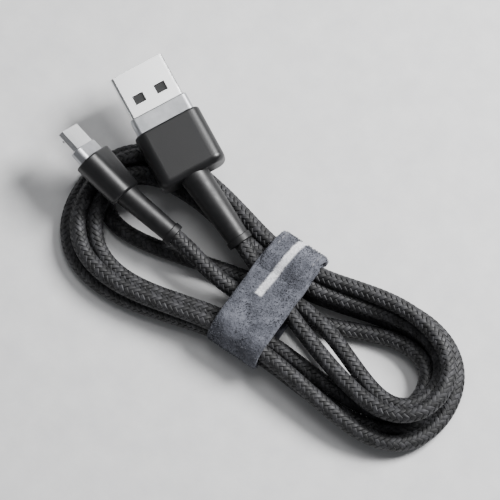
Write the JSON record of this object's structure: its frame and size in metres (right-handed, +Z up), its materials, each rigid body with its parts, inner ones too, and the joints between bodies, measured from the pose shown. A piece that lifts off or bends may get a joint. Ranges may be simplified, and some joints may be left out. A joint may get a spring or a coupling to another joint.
{
  "type": "charging cable",
  "caption": "Braided charging cable with a flat rectangular plug and a small keyed plug, wound into a pinched hank and held by a hook-and-loop strap.",
  "frame": {"origin": "middle of the footprint, on the surface the hank lies on", "axes": "+X along the hank's long axis, away from the plugs; +Y across it, towards the larger plug's side; +Z up"},
  "size_m": [0.1005, 0.0473, 0.0163],
  "materials": {
    "shell_steel": "bright nickel-plated steel",
    "collar_metal": "satin anodised",
    "shield_steel": "tinned sheet",
    "contact_gold": "gold-plated",
    "copper_wire": "tinned copper strand",
    "carrier_plastic": "moulded, matt",
    "inner_mould": "moulded, waxy",
    "casing_black": "soft gloss",
    "relief_rubber": "moulded, satin",
    "ring_black": "moulded, matt",
    "core_jacket": "extruded",
    "braid": "tight nylon braid",
    "strap_fabric": "napped loop pile",
    "hook_fabric": "moulded hooks on tape",
    "thread": "polyester thread"
  },
  "bodies": {
    "root": {"usb_a_shell": "shell_steel", "usb_a_tongue": "carrier_plastic", "usb_a_contacts": "contact_gold", "usb_a_wire_ends": "copper_wire", "usb_a_rear_shield": "shield_steel", "usb_a_collar": "collar_metal", "usb_a_inner_mould": "inner_mould", "usb_a_casing": "casing_black", "usb_a_strain_relief": "relief_rubber", "usb_a_end_ring": "ring_black", "usb_a_crimp_ring": "shield_steel", "usb_a_cable_core": "core_jacket", "micro_shell": "shell_steel", "micro_insulator": "carrier_plastic", "micro_contacts": "contact_gold", "micro_wire_ends": "copper_wire", "micro_collar": "collar_metal", "micro_inner_mould": "inner_mould", "micro_casing": "casing_black", "micro_strain_relief": "relief_rubber", "micro_end_ring": "ring_black", "micro_crimp_ring": "shield_steel", "micro_cable_core": "core_jacket", "strap_wrap": "strap_fabric", "cable_lead_usb_a": "braid", "cable_lead_micro": "braid", "cable_hank": "braid"},
    "strap_tail": {"strap_tail": "strap_fabric", "strap_hook_patch": "hook_fabric", "strap_stitches": "thread"},
    "micro_latch_left": {"micro_latch_left": "shield_steel"},
    "micro_latch_right": {"micro_latch_right": "shield_steel"}
  },
  "joints": [
    {"name": "strap_tail_peel", "type": "hinge", "parent": "root", "child": "strap_tail", "pos_m": [0.00315, 0.00864, 0.0082], "axis": [0.9994, 0.0349, 0], "range_deg": [0, 115]},
    {"name": "micro_latch_left_press", "type": "hinge", "parent": "root", "child": "micro_latch_left", "pos_m": [-0.04605, -0.00365, 0.01321], "axis": [0.0131, 0.6504, -0.7595], "range_deg": [0, 8], "stiffness_Nm_per_rad": 0.04},
    {"name": "micro_latch_right_press", "type": "hinge", "parent": "root", "child": "micro_latch_right", "pos_m": [-0.046, -0.00112, 0.01024], "axis": [0.0131, 0.6504, -0.7595], "range_deg": [0, 8], "stiffness_Nm_per_rad": 0.04}
  ]
}
